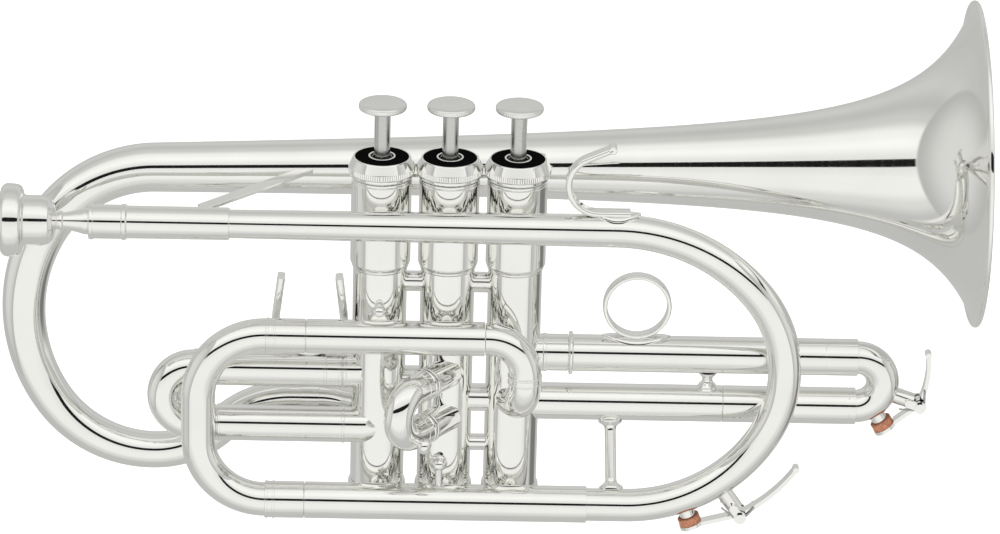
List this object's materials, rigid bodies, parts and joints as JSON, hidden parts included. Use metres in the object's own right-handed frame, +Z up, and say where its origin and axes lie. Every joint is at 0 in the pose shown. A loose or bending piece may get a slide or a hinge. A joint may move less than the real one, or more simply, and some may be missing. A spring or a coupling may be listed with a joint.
{
  "type": "cornet",
  "caption": "Silver-plated cornet with a shepherd's crook bell, piston valves, drawing tuning slides, thumb saddle, finger ring and sprung water keys.",
  "frame": {"origin": "on the second valve's axis at the height of the hand that holds the instrument", "axes": "+X toward the bell, +Y toward the player's left, +Z up along the valves"},
  "size_m": [0.3569, 0.1201, 0.19],
  "materials": {
    "silver_plate": "bright mirror-polished silver plate",
    "button_silver": "silver plate, softly polished by fingers",
    "stem_nickel": "satin nickel, turned",
    "piston_alloy": "lapped nickel alloy",
    "spring_steel": "drawn spring wire",
    "black_felt": "pressed black felt",
    "cork": "reddish natural cork"
  },
  "bodies": {
    "root": {"bell": "silver_plate", "bell_brace": "silver_plate", "bell_crook": "silver_plate", "bell_tail": "silver_plate", "bottom_caps": "silver_plate", "cap_felts": "black_felt", "casing_ties": "silver_plate", "finger_hook": "silver_plate", "first_slide_tubes": "silver_plate", "inlet_elbow": "silver_plate", "leadpipe": "silver_plate", "main_slide_sleeves": "silver_plate", "mouthpiece_receiver": "silver_plate", "post_brace": "silver_plate", "second_slide_sleeves": "silver_plate", "slide_guide": "silver_plate", "third_slide_tubes": "silver_plate", "top_cap_1": "silver_plate", "top_cap_2": "silver_plate", "top_cap_3": "silver_plate", "tube_mounts": "silver_plate", "valve_casing_1": "silver_plate", "valve_casing_2": "silver_plate", "valve_casing_3": "silver_plate", "valve_knuckles": "silver_plate", "water_key_post_1": "silver_plate", "water_key_screw_1": "silver_plate", "water_key_spring_1": "spring_steel"},
    "piston_1": {"piston_1": "piston_alloy", "valve_stem_1": "stem_nickel", "finger_button_1": "button_silver", "valve_spring_1": "spring_steel"},
    "piston_2": {"piston_2": "piston_alloy", "valve_stem_2": "stem_nickel", "finger_button_2": "button_silver", "valve_spring_2": "spring_steel"},
    "piston_3": {"piston_3": "piston_alloy", "valve_stem_3": "stem_nickel", "finger_button_3": "button_silver", "valve_spring_3": "spring_steel"},
    "mouthpiece": {"mouthpiece": "silver_plate"},
    "main_slide": {"main_slide_bow": "silver_plate", "main_slide_legs": "silver_plate"},
    "first_slide": {"first_slide_bow": "silver_plate", "first_slide_legs": "silver_plate", "thumb_saddle": "silver_plate"},
    "second_slide": {"second_slide_bow": "silver_plate", "second_slide_legs": "silver_plate", "second_slide_knob": "silver_plate"},
    "third_slide": {"third_slide_bow": "silver_plate", "third_slide_leg": "silver_plate", "third_slide_sleeve": "silver_plate", "finger_ring": "silver_plate", "water_key_post_2": "silver_plate", "water_key_screw_2": "silver_plate", "water_key_spring_2": "spring_steel"},
    "water_key_1": {"water_key_lever_1": "silver_plate", "water_key_cork_1": "cork"},
    "water_key_2": {"water_key_lever_2": "silver_plate", "water_key_cork_2": "cork"}
  },
  "joints": [
    {"name": "piston_1_travel", "type": "slide", "parent": "root", "child": "piston_1", "axis": [0, 0, -1], "range_m": [0, 0.0165], "stiffness_N_per_m": 60, "springref_m": -0.035, "deforming": ["valve_spring_1"]},
    {"name": "piston_2_travel", "type": "slide", "parent": "root", "child": "piston_2", "axis": [0, 0, -1], "range_m": [0, 0.0165], "stiffness_N_per_m": 60, "springref_m": -0.035, "deforming": ["valve_spring_2"]},
    {"name": "piston_3_travel", "type": "slide", "parent": "root", "child": "piston_3", "axis": [0, 0, -1], "range_m": [0, 0.0165], "stiffness_N_per_m": 60, "springref_m": -0.035, "deforming": ["valve_spring_3"]},
    {"name": "mouthpiece_draw", "type": "slide", "parent": "root", "child": "mouthpiece", "axis": [-1, 0, 0], "range_m": [0, 0.02]},
    {"name": "main_slide_draw", "type": "slide", "parent": "root", "child": "main_slide", "axis": [-1, 0, 0], "range_m": [0, 0.03]},
    {"name": "first_slide_draw", "type": "slide", "parent": "root", "child": "first_slide", "axis": [-1, 0, 0], "range_m": [0, 0.018]},
    {"name": "second_slide_draw", "type": "slide", "parent": "root", "child": "second_slide", "axis": [-0.5878, -0.809, 0], "range_m": [0, 0.007]},
    {"name": "third_slide_draw", "type": "slide", "parent": "root", "child": "third_slide", "axis": [1, 0, 0], "range_m": [0, 0.022]},
    {"name": "water_key_1_press", "type": "hinge", "parent": "root", "child": "water_key_1", "pos_m": [0.1087, -0.0175, -0.0692], "axis": [0, -1, 0], "range_deg": [0, 14], "stiffness_Nm_per_rad": 0.02, "springref_deg": -40.11},
    {"name": "water_key_2_press", "type": "hinge", "parent": "third_slide", "child": "water_key_2", "pos_m": [0.1742, 0, -0.0316], "axis": [0, -1, 0], "range_deg": [0, 14], "stiffness_Nm_per_rad": 0.02, "springref_deg": -40.11}
  ]
}
